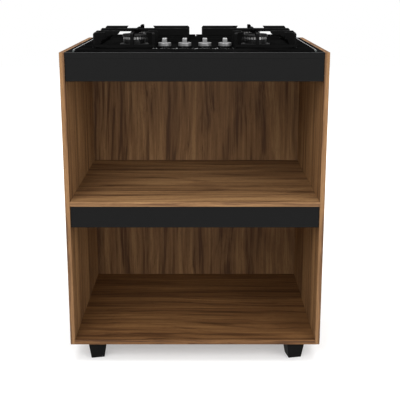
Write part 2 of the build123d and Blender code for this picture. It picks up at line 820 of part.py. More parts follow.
def finger(root_x, root_y, centre, legged):
    """A blade from the frame, or from the crossbar, that points at a burner's middle with a slanted tip."""
    aim_x, aim_y = centre[0] - root_x, centre[1] - root_y
    reach = math.hypot(aim_x, aim_y) - finger_tip_distance
    outer = frame_width / 2
    inner = leg_width - outer
    root_z = support_top_z - finger_root_height
    tip = [(reach, support_top_z), (reach - finger_tip_slant, support_top_z - finger_tip_height)]
    points = [(0, root_z), (0, support_top_z)] + tip
    if legged:
        leg = [(-outer, frame_top_z), (-outer, support_top_z - finger_shoulder),
               (-outer + finger_shoulder, support_top_z)]
        points = leg + tip + [(inner, root_z), (inner, frame_top_z)]
    profile = make_face(Polyline(*points, close=True))
    blade = extrude(Plane.XZ * profile, finger_thickness / 2, both=True)
    blade = chamfer(blade.edges().group_by(Axis.Z)[-1].filter_by(Axis.X), casting_chamfer)
    return Pos(root_x, root_y, 0) * Rot(0, 0, math.degrees(math.atan2(aim_y, aim_x))) * blade


def corner_post(x, y, centre):
    """An upright in a corner of the frame with a short blade towards the burner."""
    aim_x, aim_y = centre[0] - x, centre[1] - y
    points = [(-leg_width / 2, frame_z), (-leg_width / 2, support_top_z - finger_shoulder),
              (-leg_width / 2 + finger_shoulder, support_top_z), (corner_post_length, support_top_z),
              (corner_post_length - finger_tip_slant, support_top_z - finger_tip_height),
              (leg_width / 2, frame_z)]
    blade = extrude(Plane.XZ * make_face(Polyline(*points, close=True)), finger_thickness / 2, both=True)
    blade = chamfer(blade.edges().group_by(Axis.Z)[-1].filter_by(Axis.X), casting_chamfer)
    return Pos(x, y, 0) * Rot(0, 0, math.degrees(math.atan2(aim_y, aim_x))) * blade


def crossbar():
    """The bar over the frame's step, as wide as a pan support, on two legs; its inner half is a deeper web."""
    inner, outer = support_rear_inner, support_outer
    shoulder_z = support_top_z - finger_shoulder
    under_z = support_top_z - crossbar_height
    web_z = support_top_z - crossbar_web_height
    slope_end = crossbar_web_end + crossbar_web_height - crossbar_height
    points = [(inner, frame_top_z), (inner, shoulder_z), (inner + finger_shoulder, support_top_z),
              (outer - finger_shoulder, support_top_z), (outer, shoulder_z), (outer, frame_top_z),
              (outer - leg_width, frame_top_z), (outer - leg_width, under_z), (slope_end, under_z),
              (crossbar_web_end, web_z), (inner + leg_width, web_z), (inner + leg_width, frame_top_z)]
    bar = extrude(Plane.XZ * make_face(Polyline(*points, close=True)), finger_thickness / 2, both=True)
    bar = chamfer(bar.edges().group_by(Axis.Z)[-1].filter_by(Axis.X), casting_chamfer)
    return Pos(0, frame_step_mid, 0) * bar


def pan_support():
    """The right-hand casting: frame, crossbar, four fingers round each burner and two posts at the front."""
    front, rear = BURNERS["front_right"], BURNERS["rear_right"]
    casting = support_frame() + crossbar()
    fingers = [
        finger(frame_outer_mid, front[1], front, True),
        finger(frame_front_inner_mid, front[1], front, True),
        finger(front[0], frame_front_mid, front, True),
        finger(front[0], frame_step_mid, front, False),
        finger(frame_outer_mid, rear[1], rear, True),
        finger(frame_rear_inner_mid, rear[1], rear, True),
        finger(rear[0], frame_rear_mid, rear, True),
        finger(rear[0], frame_step_mid, rear, False),
        corner_post(frame_outer_mid - leg_width / 2, frame_front_mid + leg_width / 2, front),
        corner_post(frame_front_inner_mid + leg_width / 2, frame_front_mid + leg_width / 2, front),
    ]
    for blade in fingers:
        casting = casting + blade
    return cut(casting, [support_foot(x, y) for x, y in support_foot_places()])


def support_foot_places():
    """The rubber feet under a right-hand pan support, in the frame's corners."""
    inset = support_foot_inset
    return [(frame_outer_mid, frame_front_mid + inset), (frame_front_inner_mid, frame_front_mid + inset),
            (frame_outer_mid, frame_rear_mid - inset), (frame_rear_inner_mid, frame_rear_mid - inset),
            (frame_rear_inner_mid, frame_step_mid + inset)]


def support_foot(x, y):
    """A rubber foot, plugged into the frame."""
    return rod_z(x, y, glass_top_z, frame_z + support_foot_sink, support_foot_radius)


def mirrored(shape, side):
    """The shape itself on the right, its mirror image on the left."""
    return shape if side > 0 else mirror(shape, about=Plane.YZ)


os.makedirs("parts", exist_ok=True)

for side_name, side in SIDES.items():
    save(f"side_panel_{side_name}", side_panel(side))
save("bottom_panel", bottom_panel())
save("middle_shelf", middle_shelf())
save("worktop", worktop())
for rail_name in RAILS:
    save(rail_name, rail(rail_name))
save("back_panel", back_panel())

for foot_name, (foot_x, foot_y) in foot_places().items():
    save(f"foot_{foot_name}", foot(foot_x, foot_y))
save("foot_studs", *[foot_stud(x, y) for x, y in foot_places().values()])
save("foot_inserts", *[foot_insert(x, y) for x, y in foot_places().values()])

save("side_screws", *[side_screw(side, y, z) for side in SIDES.values() for y, z in all_screw_spots])
save("screw_caps", *[screw_cap(side, y, z) for side in SIDES.values() for y, z in all_screw_spots])
save("dowels", *[dowel(side, y, z) for side in SIDES.values() for y, z in all_dowel_spots])
save("corner_brackets", *[corner_angle(side, y) for side, y in angle_places()])
save("bracket_screws", *angle_screws())

save("hob_glass", hob_glass())
save("hob_seal", hob_seal())
save("hob_tray", hob_tray())
save("hob_clamps", *[hob_clamp(side, y) for side, y in clamp_places()])
save("clamp_screws", *[clamp_screw(side, y) for side, y in clamp_places()])

save("burner_cups", *[burner_cup(name) for name in BURNERS])
save("injectors", *[injector(x, y) for x, y in BURNERS.values()])
save("spark_electrodes", *[spark_electrode(x, y) for x, y in BURNERS.values()])
for burner_name, (burner_x, burner_y) in BURNERS.items():
    save(f"burner_crown_{burner_name}", burner_crown(burner_x, burner_y))
    save(f"burner_cap_{burner_name}", burner_cap(burner_x, burner_y))

save("gas_valves", *[gas_valve(x) for x in KNOBS.values()])
save("knob_seals", *[knob_seal(x) for x in KNOBS.values()])
for knob_name, knob_x in KNOBS.items():
    save(f"spring_seat_{knob_name}", spring_seat(knob_x))
    save(f"valve_stem_{knob_name}", valve_stem(knob_x))
    save(f"knob_{knob_name}", knob(knob_x))
save("gas_manifold", gas_manifold())
save("gas_inlet", gas_inlet())
save("gas_tubes", *[gas_tube(side, end) for side in SIDES.values() for end in ("front", "rear")])
save("ignition_module", ignition_module())

for side_name, side in SIDES.items():
    save(f"pan_support_{side_name}", mirrored(pan_support(), side))
    save(f"support_feet_{side_name}", *[mirrored(support_foot(x, y), side) for x, y in support_foot_places()])
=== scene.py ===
# Finishes, printed marks, trim, studio and camera for the cooktop base cabinet, in metres, in the CAD frame.
import math
import bpy
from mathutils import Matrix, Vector


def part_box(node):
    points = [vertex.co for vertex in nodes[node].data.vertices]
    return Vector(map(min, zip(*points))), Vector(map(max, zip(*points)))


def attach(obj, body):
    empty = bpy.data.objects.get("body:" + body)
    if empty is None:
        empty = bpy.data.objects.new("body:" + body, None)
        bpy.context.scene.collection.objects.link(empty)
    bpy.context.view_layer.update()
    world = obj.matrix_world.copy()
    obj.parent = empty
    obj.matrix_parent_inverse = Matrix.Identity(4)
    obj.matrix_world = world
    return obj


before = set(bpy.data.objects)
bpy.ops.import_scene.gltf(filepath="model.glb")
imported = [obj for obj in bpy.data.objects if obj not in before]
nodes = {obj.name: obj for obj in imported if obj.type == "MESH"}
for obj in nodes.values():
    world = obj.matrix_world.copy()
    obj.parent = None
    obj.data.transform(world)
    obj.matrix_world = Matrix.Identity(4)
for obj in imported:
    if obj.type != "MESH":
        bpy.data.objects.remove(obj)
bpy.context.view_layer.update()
scene = bpy.context.scene

BURNERS = ("front_left", "front_right", "rear_left", "rear_right")
KNOB_ORDER = ("rear_left", "front_left", "front_right", "rear_right")

# The Mix node's sockets for each kind of value: first, second and result
MIX_SOCKETS = {"RGBA": (6, 7, 2), "VECTOR": (4, 5, 1)}
# The Compare node's sockets for whole numbers
COMPARE_FIRST, COMPARE_SECOND = 2, 3


def middle(name):
    """The middle of a CAD node's box."""
    low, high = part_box(name)
    return (low + high) / 2


def node(tree, kind, feeds=None, **settings):
    """Adds a node, sets its properties, and feeds its inputs with values or with other nodes' outputs."""
    made = tree.nodes.new(kind)
    for name, value in settings.items():
        setattr(made, name, value)
    for name, value in (feeds or {}).items():
        feed(tree, made.inputs[name], value)
    return made


def feed(tree, socket, value):
    """Links an output to a socket, or sets the socket's own value."""
    if isinstance(value, bpy.types.NodeSocket):
        tree.links.new(value, socket)
    else:
        socket.default_value = value


def calc(tree, operation, *values):
    """A sum on numbers."""
    return node(tree, "ShaderNodeMath", dict(enumerate(values)), operation=operation).outputs[0]


def vector_of(tree, x, y, z):
    """A vector from three numbers."""
    return node(tree, "ShaderNodeCombineXYZ", {0: x, 1: y, 2: z}).outputs[0]


def parts_of(tree, vector):
    """The three numbers of a vector."""
    return node(tree, "ShaderNodeSeparateXYZ", {0: vector}).outputs


def length_of(tree, vector):
    """How long a vector is."""
    return node(tree, "ShaderNodeVectorMath", {0: vector}, operation="LENGTH").outputs["Value"]


def added(tree, first, second):
    """The sum of two vectors."""
    return node(tree, "ShaderNodeVectorMath", {0: first, 1: second}, operation="ADD").outputs[0]


def enlarged(tree, vector, factor):
    """A vector times one factor."""
    feeds = {0: vector, "Scale": factor}
    return node(tree, "ShaderNodeVectorMath", feeds, operation="SCALE").outputs[0]


def scaled(tree, vector, x, y, z):
    """A vector with each part times its own factor."""
    feeds = {0: vector, 1: (x, y, z)}
    return node(tree, "ShaderNodeVectorMath", feeds, operation="MULTIPLY").outputs[0]


def turned(tree, vector, x=0.0, y=0.0, z=0.0, shift=(0.0, 0.0, 0.0)):
    """A vector turned by degrees about the axes, then shifted."""
    turn = tuple(math.radians(angle) for angle in (x, y, z))
    feeds = {"Vector": vector, "Rotation": turn, "Location": shift}
    return node(tree, "ShaderNodeMapping", feeds).outputs[0]


def noise(tree, vector, detail=2.0, roughness=0.5):
    """Soft noise of about one swell to each unit of the vector."""
    feeds = {"Vector": vector, "Scale": 1.0, "Detail": detail, "Roughness": roughness}
    return node(tree, "ShaderNodeTexNoise", feeds).outputs[0]


def spread(tree, value, low, high, out_low=0.0, out_high=1.0):
    """Maps low..high smoothly to out_low..out_high and holds the ends."""
    feeds = {"Value": value, "From Min": low, "From Max": high, "To Min": out_low, "To Max": out_high}
    return node(tree, "ShaderNodeMapRange", feeds, interpolation_type="SMOOTHSTEP").outputs[0]


def mixed(tree, kind, mask, first, second):
    """One value where the mask is 0 and another where it is 1, both of one kind."""
    first_at, second_at, result_at = MIX_SOCKETS[kind]
    feeds = {0: mask, first_at: first, second_at: second}
    return node(tree, "ShaderNodeMix", feeds, data_type=kind).outputs[result_at]


def blend(tree, mask, first, second):
    """One colour where the mask is 0 and another where it is 1."""
    return mixed(tree, "RGBA", mask, first, second)


def choose(tree, mask, first, second):
    """One vector where the mask is 0 and another where it is 1."""
    return mixed(tree, "VECTOR", mask, first, second)


def new_group(name, inputs, outputs):
    """A shader node group with named sockets: returns it, its given sockets and the sockets it fills."""
    group = bpy.data.node_groups.new(name, "ShaderNodeTree")
    for label, kind in inputs.items():
        group.interface.new_socket(label, in_out="INPUT", socket_type="NodeSocket" + kind)
    for label, kind in outputs.items():
        group.interface.new_socket(label, in_out="OUTPUT", socket_type="NodeSocket" + kind)
    given = group.nodes.new("NodeGroupInput").outputs
    wanted = group.nodes.new("NodeGroupOutput").inputs
    return group, given, wanted


# The part of its range that noise fills, for an even, a cloudy and a crisp mask
EVEN_SPAN = (0.3, 0.7)
CLOUDY_SPAN = (0.32, 0.68)
CRISP_SPAN = (0.35, 0.65)
# How far a normal points up or sideways on a level face, a slanted face and a side face
NEARLY_LEVEL = (0.9, 0.98)
SLANTED_UP = (0.25, 0.5)
SIDEWAYS = (0.45, 0.7)

# Wood grain: swells to the metre along and across the board
SWAY_SCALE = (2.4, 8.0, 8.0)
BAND_SCALE = (0.9, 26.0, 26.0)
STREAK_SCALE = (2.6, 115.0, 115.0)
THREAD_SCALE = (9.0, 620.0, 620.0)
PORE_SCALE = (48.0, 1500.0, 1500.0)
# Wood grain: how far it sways, and how much each layer adds to the tone or takes from it
SWAY_REACH = 0.006
BAND_SHARE = 0.42
STREAK_SHARE = 0.44
THREAD_SHARE = 0.2
RING_SHARE = 0.16
PORE_SHARE = 0.5
# Wood grain: growth rings, as a wave round the log's middle that tapers along it
RING_TAPER = 0.045
RING_WAVE = 420.0
RING_SPAN = (0.1, 1.0)
PORE_SPAN = (0.58, 0.7)
DARK_TONES = (0.1, 0.5)
LIGHT_TONES = (0.48, 0.9)
WOOD_ROUGHNESS = (0.5, 0.62)
THREAD_HEIGHT = 0.5


def wood_grain():
    """Straight-grained wood: slow sway, bands, streaks, growth rings and pores. The grain runs along X."""
    group, given, wanted = new_group(
        "wood_grain",
        {"Vector": "Vector", "Light": "Color", "Middle": "Color", "Dark": "Color"},
        {"Color": "Color", "Roughness": "Float", "Height": "Float"},
    )
    sway = noise(group, scaled(group, given["Vector"], *SWAY_SCALE))
    shift = spread(group, sway, *EVEN_SPAN, -SWAY_REACH, SWAY_REACH)
    grain = added(group, given["Vector"], vector_of(group, 0.0, shift, shift))
    bands = noise(group, scaled(group, grain, *BAND_SCALE), detail=3.0, roughness=0.55)
    streaks = noise(group, scaled(group, grain, *STREAK_SCALE), detail=4.0, roughness=0.62)
    threads = noise(group, scaled(group, grain, *THREAD_SCALE))
    pores = noise(group, scaled(group, grain, *PORE_SCALE), detail=1.0)
    reach = length_of(group, scaled(group, grain, 0.0, 1.0, 1.0))
    taper = calc(group, "MULTIPLY", parts_of(group, grain)["X"], RING_TAPER)
    wave = calc(group, "SINE", calc(group, "MULTIPLY", calc(group, "ADD", reach, taper), RING_WAVE))
    rings = spread(group, wave, *RING_SPAN)
    tone = spread(group, bands, *CLOUDY_SPAN, 0.0, BAND_SHARE)
    tone = calc(group, "ADD", tone, spread(group, streaks, *EVEN_SPAN, 0.0, STREAK_SHARE))
    tone = calc(group, "ADD", tone, spread(group, threads, *EVEN_SPAN, 0.0, THREAD_SHARE))
    tone = calc(group, "SUBTRACT", tone, calc(group, "MULTIPLY", rings, RING_SHARE))
    colour = blend(group, spread(group, tone, *DARK_TONES), given["Dark"], given["Middle"])
    colour = blend(group, spread(group, tone, *LIGHT_TONES), colour, given["Light"])
    pits = spread(group, pores, *PORE_SPAN)
    colour = blend(group, calc(group, "MULTIPLY", pits, PORE_SHARE), colour, given["Dark"])
    roughness = calc(group, "ADD", spread(group, threads, *EVEN_SPAN, *WOOD_ROUGHNESS), pits)
    height = calc(group, "SUBTRACT", calc(group, "MULTIPLY", threads, THREAD_HEIGHT), pits)
    feed(group, wanted["Color"], colour)
    feed(group, wanted["Roughness"], roughness)
    feed(group, wanted["Height"], height)
    return group


def fine_speckle():
    """Fine even grain of moulded, sprayed and cast surfaces."""
    group, given, wanted = new_group(
        "fine_speckle", {"Vector": "Vector", "Scale": "Float"}, {"Mask": "Float", "Height": "Float"}
    )
    grain = noise(group, enlarged(group, given["Vector"], given["Scale"]), detail=3.0, roughness=0.6)
    feed(group, wanted["Mask"], spread(group, grain, *CRISP_SPAN))
    feed(group, wanted["Height"], grain)
    return group


def soft_clouds():
    """Large faint patches, for uneven gloss and tone."""
    group, given, wanted = new_group("soft_clouds", {"Vector": "Vector", "Scale": "Float"}, {"Mask": "Float"})
    clouds = noise(group, enlarged(group, given["Vector"], given["Scale"]), detail=3.0, roughness=0.55)
    feed(group, wanted["Mask"], spread(group, clouds, *CLOUDY_SPAN))
    return group


def turning_lines():
    """The fine rings that a lathe leaves round the Z axis."""
    group, given, wanted = new_group(
        "turning_lines", {"Vector": "Vector", "Pitch": "Float"}, {"Mask": "Float"}
    )
    reach = length_of(group, scaled(group, given["Vector"], 1.0, 1.0, 0.0))
    height = parts_of(group, given["Vector"])["Z"]
    place = calc(group, "DIVIDE", calc(group, "ADD", reach, height), given["Pitch"])
    feeds = {"W": place, "Scale": 1.0, "Detail": 2.0}
    lines = node(group, "ShaderNodeTexNoise", feeds, noise_dimensions="1D").outputs[0]
    feed(group, wanted["Mask"], spread(group, lines, *CRISP_SPAN))
    return group


def upper_edges():
    """A mask of slanted faces that look upwards, such as chamfers and upper arrises, for wear and for painted
    highlights.
    """
    group, given, wanted = new_group("upper_edges", {"Normal": "Vector"}, {"Mask": "Float"})
    rise = parts_of(group, given["Normal"])["Z"]
    not_level = spread(group, rise, *NEARLY_LEVEL, 1.0, 0.0)
    feed(group, wanted["Mask"], calc(group, "MULTIPLY", not_level, spread(group, rise, *SLANTED_UP)))
    return group


WOOD_GRAIN = wood_grain()
FINE_SPECKLE = fine_speckle()
SOFT_CLOUDS = soft_clouds()
TURNING_LINES = turning_lines()
UPPER_EDGES = upper_edges()


def use(tree, group, **feeds):
    """Places a shared group in a material and returns its outputs."""
    return node(tree, "ShaderNodeGroup", feeds, node_tree=group).outputs


def start(name, **constants):
    """A new material: returns it, its tree, its shader's sockets and its object coordinates."""
    material = bpy.data.materials.new(name)
    material.use_nodes = True
    tree = material.node_tree
    shader = tree.nodes["Principled BSDF"].inputs
    for label, value in constants.items():
        shader[label.replace("_", " ")].default_value = value
    return material, tree, shader, node(tree, "ShaderNodeTexCoord").outputs["Object"]


def face_normal(tree):
    """Where the surface faces, in the object's own axes."""
    return node(tree, "ShaderNodeTexCoord").outputs["Normal"]


def roughen(tree, shader, mask, low, high, span=(0.0, 1.0)):
    """Lets the roughness go from low to high as the mask goes through its span."""
    feed(tree, shader["Roughness"], spread(tree, mask, *span, low, high))


def bump(tree, shader, height, depth):
    """Lets a height field, of that depth in metres, tilt the surface."""
    feeds = {"Height": height, "Distance": depth, "Strength": 1.0}
    feed(tree, shader["Normal"], node(tree, "ShaderNodeBump", feeds).outputs[0])


# How edge on the surface is seen where a clear gloss fades out
GLOSS_FADE = (0.72, 0.92)


def gloss_coat(tree, shader, weight, roughness, where=1.0, specular=0.0):
    """A clear gloss that shows from above and fades where the surface is seen almost edge on."""
    shader["Specular IOR Level"].default_value = specular
    shader["Coat Roughness"].default_value = roughness
    facing = node(tree, "ShaderNodeLayerWeight", {"Blend": 0.5}).outputs["Facing"]
    gloss = spread(tree, facing, *GLOSS_FADE, weight, 0.0)
    feed(tree, shader["Coat Weight"], calc(tree, "MULTIPLY", gloss, where))


def grey(value):
    """A neutral colour."""
    return (value, value, value, 1.0)


# Colours of each finish, dark to light
WALNUT = ((0.1, 0.048, 0.022, 1.0), (0.245, 0.13, 0.057, 1.0), (0.375, 0.213, 0.093, 1.0))
BEECH = ((0.42, 0.24, 0.12, 1.0), (0.6, 0.38, 0.2, 1.0), (0.72, 0.5, 0.3, 1.0))
HARDBOARD = ((0.16, 0.085, 0.042, 1.0), (0.24, 0.135, 0.07, 1.0))
HARDBOARD_PATCH = (0.12, 0.062, 0.032, 1.0)
BLACK_LAMINATE = (grey(0.006), grey(0.0095))
# Paler arris colour: partly the laminate's own edge, partly a painted highlight
ARRIS_EDGE_AND_HIGHLIGHT = grey(0.09)
BLACK_GLASS = (grey(0.0025), grey(0.005))
# Painted highlight colour for the glass's side edges
EDGE_HIGHLIGHT_GLASS = (0.12, 0.135, 0.13, 1.0)
PALE_INK = (grey(0.7), grey(0.8))
CAST_IRON = (grey(0.0018), grey(0.004))
RUBBED_IRON = grey(0.02)
BLACK_ENAMEL = (grey(0.004), grey(0.008))
TURNED_ALLOY = (grey(0.24), grey(0.34))
HEAT_TINT = (0.16, 0.13, 0.11, 1.0)
CROWN_DARK_LOWER = (grey(0.012), grey(0.03))
TURNED_SILVER = (grey(0.15), grey(0.2))
BRUSHED_SILVER = grey(0.26)
# Painted highlight colour for the knobs' upward-facing edges
PAINTED_HIGHLIGHT_SILVER = grey(0.44)
POINTER_LINE = grey(0.01)
CERAMIC = ((0.72, 0.7, 0.64, 1.0), (0.82, 0.8, 0.75, 1.0))
FOOT_PLASTIC = (grey(0.005), grey(0.009))
CAP_PLASTIC = ((0.2, 0.1, 0.043, 1.0), (0.27, 0.138, 0.06, 1.0))
MODULE_PLASTIC = (grey(0.62), grey(0.72))
SEAL_RUBBER = (grey(0.01), grey(0.018))
FOAM = (grey(0.012), grey(0.03))
DARK_CUP = (grey(0.008), grey(0.016))
ZINC_STEEL = ((0.5, 0.5, 0.49, 1.0), (0.68, 0.68, 0.66, 1.0))
TRAY_STEEL = (grey(0.42), grey(0.55))
BRASS = ((0.58, 0.4, 0.15, 1.0), (0.72, 0.53, 0.24, 1.0))
PIPE_STEEL = (grey(0.58), grey(0.7))
BRIGHT_STEEL = (grey(0.5), grey(0.62))
BLACKENED_STEEL = (grey(0.012), grey(0.025))

# Where each board is cut from the walnut print, and how much darker the bottom board is: partly print, partly
# painted shade
UPRIGHT_CUT = (0.0, -0.06, 0.36)
TOP_EDGE_CUT = (0.0, 0.3, 0.5)
BACK_CUT = (0.1, 0.2, 0.15)
SHELF_CUT = (0.4, 0.095, 0.103)
BOTTOM_CUT = (0.7, 0.24, 0.1)
PLAIN_TONE = (1.0, 1.0, 1.0)
BOTTOM_TONE_AND_SHADE = (0.72, 0.65, 0.57)
# The print's depth, the lacquer over it, and how far a normal points up on a board's top edge
PRINT_DEPTH = 0.00012
LACQUER = {"weight": 0.3, "roughness": 0.42, "specular": 0.03}
TOP_EDGE = (0.6, 0.8)


def wood(tree, vector, colours, tone=PLAIN_TONE):
    """Wood grain in three colours, dark to light, each times a tone of red, green and blue."""
    dark, medium, light = (
        (*(part * factor for part, factor in zip(colour, tone)), 1.0) for colour in colours
    )
    return use(tree, WOOD_GRAIN, Vector=vector, Light=light, Middle=medium, Dark=dark)


def lay_grain(tree, shader, grain, depth):
    """Gives a shader a wood grain's colour, roughness and relief."""
    feed(tree, shader["Base Color"], grain["Color"])
    feed(tree, shader["Roughness"], grain["Roughness"])
    bump(tree, shader, grain["Height"], depth)


def wood_laminate_upright():
    """Walnut laminate, alike on both sides, with upright grain, and along the depth on the top edge."""
    material, tree, shader, place = start("wood_laminate_upright")
    x, y, z = parts_of(tree, place)
    board = vector_of(tree, calc(tree, "ABSOLUTE", x), y, z)
    upright = turned(tree, board, y=90.0, shift=UPRIGHT_CUT)
    level = turned(tree, board, z=-90.0, shift=TOP_EDGE_CUT)
    rise = calc(tree, "ABSOLUTE", parts_of(tree, face_normal(tree))["Z"])
    grain = wood(tree, choose(tree, spread(tree, rise, *TOP_EDGE), upright, level), WALNUT)
    lay_grain(tree, shader, grain, PRINT_DEPTH)
    gloss_coat(tree, shader, **LACQUER)
    return material


def wood_laminate_level(name, cut_from, tone):
    """Walnut laminate with the grain along the cabinet's width, cut from its own place in the print."""
    material, tree, shader, place = start(name)
    grain = wood(tree, turned(tree, place, shift=cut_from), WALNUT, tone)
    lay_grain(tree, shader, grain, PRINT_DEPTH)
    gloss_coat(tree, shader, **LACQUER)
    return material


# Back board: how far a normal points backwards on its bare side, and how strong the dark patches are there
REAR_FACE = (0.2, 0.6)
PATCH_SHARE = 0.3


def back_board():
    """Hardboard: walnut print with upright grain on its front, bare brown fibre behind."""
    material, tree, shader, place = start("back_board", Specular_IOR_Level=0.2)
    grain = wood(tree, turned(tree, place, y=90.0, shift=BACK_CUT), WALNUT)
    fibre = use(tree, FINE_SPECKLE, Vector=place, Scale=900.0)
    patches = use(tree, SOFT_CLOUDS, Vector=place, Scale=9.0)
    bare = blend(tree, fibre["Mask"], *HARDBOARD)
    bare = blend(tree, calc(tree, "MULTIPLY", patches["Mask"], PATCH_SHARE), bare, HARDBOARD_PATCH)
    rear = spread(tree, parts_of(tree, face_normal(tree))["Y"], *REAR_FACE)
    feed(tree, shader["Base Color"], blend(tree, rear, grain["Color"], bare))
    roughen(tree, shader, rear, low=0.55, high=0.85)
    bump(tree, shader, fibre["Height"], depth=0.00008)
    return material


# Height of the worktop's upper arris
ARRIS_HEIGHT = 0.002


def black_laminate():
    """Matt black laminate: fine pearl, faintly uneven gloss, upper worktop arris paler in part by painted
    highlight.
    """
    material, tree, shader, place = start("black_laminate")
    pearl = use(tree, FINE_SPECKLE, Vector=place, Scale=1400.0)
    patches = use(tree, SOFT_CLOUDS, Vector=place, Scale=7.0)
    arris = use(tree, UPPER_EDGES, Normal=face_normal(tree))
    worktop_low, worktop_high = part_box("worktop")
    at_top = spread(tree, parts_of(tree, place)["Z"], worktop_low.z, worktop_high.z - ARRIS_HEIGHT)
    black = blend(tree, pearl["Mask"], *BLACK_LAMINATE)
    # The upward-facing arris at the worktop's top is paler: partly the laminate's own edge, partly a painted
    # highlight
    pale = calc(tree, "MULTIPLY", arris["Mask"], at_top)
    feed(tree, shader["Base Color"], blend(tree, pale, black, ARRIS_EDGE_AND_HIGHLIGHT))
    roughen(tree, shader, patches["Mask"], low=0.44, high=0.54)
    gloss_coat(tree, shader, weight=0.11, roughness=0.4)
    bump(tree, shader, pearl["Height"], depth=0.00005)
    return material


def fine_grained(name, colours, scale, specular=0.25, roughness=(0.45, 0.6), depth=0.00006):
    """Moulded plastic, rubber, foam or a sprayed coat, with a fine even grain."""
    material, tree, shader, place = start(name, Specular_IOR_Level=specular)
    grain = use(tree, FINE_SPECKLE, Vector=place, Scale=scale)
    feed(tree, shader["Base Color"], blend(tree, grain["Mask"], *colours))
    roughen(tree, shader, grain["Mask"], *roughness)
    bump(tree, shader, grain["Height"], depth)
    return material


def plated_metal(name, colours, scale, roughness, metallic=1.0):
    """Plated or drawn metal: cloudy tone and a fine grain."""
    material, tree, shader, place = start(name, Metallic=metallic)
    patches = use(tree, SOFT_CLOUDS, Vector=place, Scale=scale)
    grain = use(tree, FINE_SPECKLE, Vector=place, Scale=1600.0)
    feed(tree, shader["Base Color"], blend(tree, patches["Mask"], *colours))
    roughen(tree, shader, patches["Mask"], *roughness)
    bump(tree, shader, grain["Height"], depth=0.00003)
    return material


def beech():
    """Plain beech, grain along the dowels."""
    material, tree, shader, place = start("beech", Specular_IOR_Level=0.2)
    lay_grain(tree, shader, wood(tree, place, BEECH), depth=0.0001)
    return material


def black_glass():
    """Black tempered glass with a painted highlight on the edge faces along both sides."""
    material, tree, shader, place = start("black_glass")
    wiped = use(tree, SOFT_CLOUDS, Vector=place, Scale=11.0)
    normal = parts_of(tree, face_normal(tree))
    level = spread(tree, calc(tree, "ABSOLUTE", normal["Z"]), *NEARLY_LEVEL)
    side = spread(tree, calc(tree, "ABSOLUTE", normal["X"]), *SIDEWAYS)
    # Painted highlight: the side-facing edge faces get a pale colour
    painted_edge_highlight = calc(tree, "MULTIPLY", calc(tree, "SUBTRACT", 1.0, level), side)
    tint = blend(tree, wiped["Mask"], *BLACK_GLASS)
    feed(tree, shader["Base Color"], blend(tree, painted_edge_highlight, tint, EDGE_HIGHLIGHT_GLASS))
    roughen(tree, shader, wiped["Mask"], low=0.06, high=0.12)
    gloss_coat(tree, shader, weight=0.32, roughness=0.06, where=level)
    return material


def printed_ink():
    """Pale ceramic ink on the glass."""
    material, tree, shader, place = start("printed_ink", Specular_IOR_Level=0.2)
    grain = use(tree, FINE_SPECKLE, Vector=place, Scale=3000.0)
    feed(tree, shader["Base Color"], blend(tree, grain["Mask"], *PALE_INK))
    roughen(tree, shader, grain["Mask"], low=0.4, high=0.55)
    return material


def cast_iron():
    """Matt black enamel over cast iron, a little rubbed on the upper arrises."""
    material, tree, shader, place = start("cast_iron")
    skin = use(tree, FINE_SPECKLE, Vector=place, Scale=1100.0)
    lumps = use(tree, SOFT_CLOUDS, Vector=place, Scale=120.0)
    edges = use(tree, UPPER_EDGES, Normal=face_normal(tree))
    iron = blend(tree, skin["Mask"], *CAST_IRON)
    rubbed = calc(tree, "MULTIPLY", edges["Mask"], lumps["Mask"])
    feed(tree, shader["Base Color"], blend(tree, rubbed, iron, RUBBED_IRON))
    roughen(tree, shader, lumps["Mask"], low=0.48, high=0.64)
    gloss_coat(tree, shader, weight=0.09, roughness=0.45)
    bump(tree, shader, skin["Height"], depth=0.00015)
    return material


def black_enamel():
    """Satin black enamel with a slight orange peel."""
    material, tree, shader, place = start("black_enamel")
    peel = use(tree, FINE_SPECKLE, Vector=place, Scale=700.0)
    patches = use(tree, SOFT_CLOUDS, Vector=place, Scale=60.0)
    feed(tree, shader["Base Color"], blend(tree, patches["Mask"], *BLACK_ENAMEL))
    roughen(tree, shader, patches["Mask"], low=0.3, high=0.42)
    gloss_coat(tree, shader, weight=0.2, roughness=0.25)
    bump(tree, shader, peel["Height"], depth=0.00008)
    return material


# Burner crowns: turned lines, and from the top down the heated part, its tint, and where the dark lower part
# begins
ALLOY_PITCH = 0.0005
HEATED_PART = (-0.007, 0.0)
HEAT_SHARE = 0.4
DARK_LOWER_EDGE = (-0.0066, -0.0056)


def burner_alloy(burner):
    """Die-cast aluminium, turned, a little heat-tinted at the flame slots, and dark below them."""
    material, tree, shader, place = start("burner_alloy_" + burner, Metallic=1.0)
    centre = middle("burner_crown_" + burner)
    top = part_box("burner_crown_" + burner)[1].z
    local = turned(tree, place, shift=(-centre.x, -centre.y, -top))
    lines = use(tree, TURNING_LINES, Vector=local, Pitch=ALLOY_PITCH)
    stain = use(tree, SOFT_CLOUDS, Vector=place, Scale=160.0)
    drop = parts_of(tree, local)["Z"]
    heat = calc(tree, "MULTIPLY", spread(tree, drop, *HEATED_PART, 0.0, HEAT_SHARE), stain["Mask"])
    alloy = blend(tree, heat, blend(tree, lines["Mask"], *TURNED_ALLOY), HEAT_TINT)
    # Below the flame slots the crown is simply made dark
    coat = blend(tree, stain["Mask"], *CROWN_DARK_LOWER)
    feed(tree, shader["Base Color"], blend(tree, spread(tree, drop, *DARK_LOWER_EDGE), coat, alloy))
    roughen(tree, shader, lines["Mask"], low=0.28, high=0.4)
    bump(tree, shader, lines["Mask"], depth=0.00002)
    return material


# Knobs: turned and brushed lines, how strongly brushing and the painted highlight on upward edges show,
# and the pointer groove's sides, floor and rim
KNOB_PITCH = 0.0004
BRUSH_SCALE = (2500.0, 120.0, 2500.0)
BRUSH_SHARE = 0.4
PAINTED_HIGHLIGHT_SHARE = 0.8
GROOVE_SIDES = (0.0007, 0.0009)
GROOVE_FLOOR = (-0.0009, -0.0007)
GROOVE_RIM = (-0.0004, -0.0002)


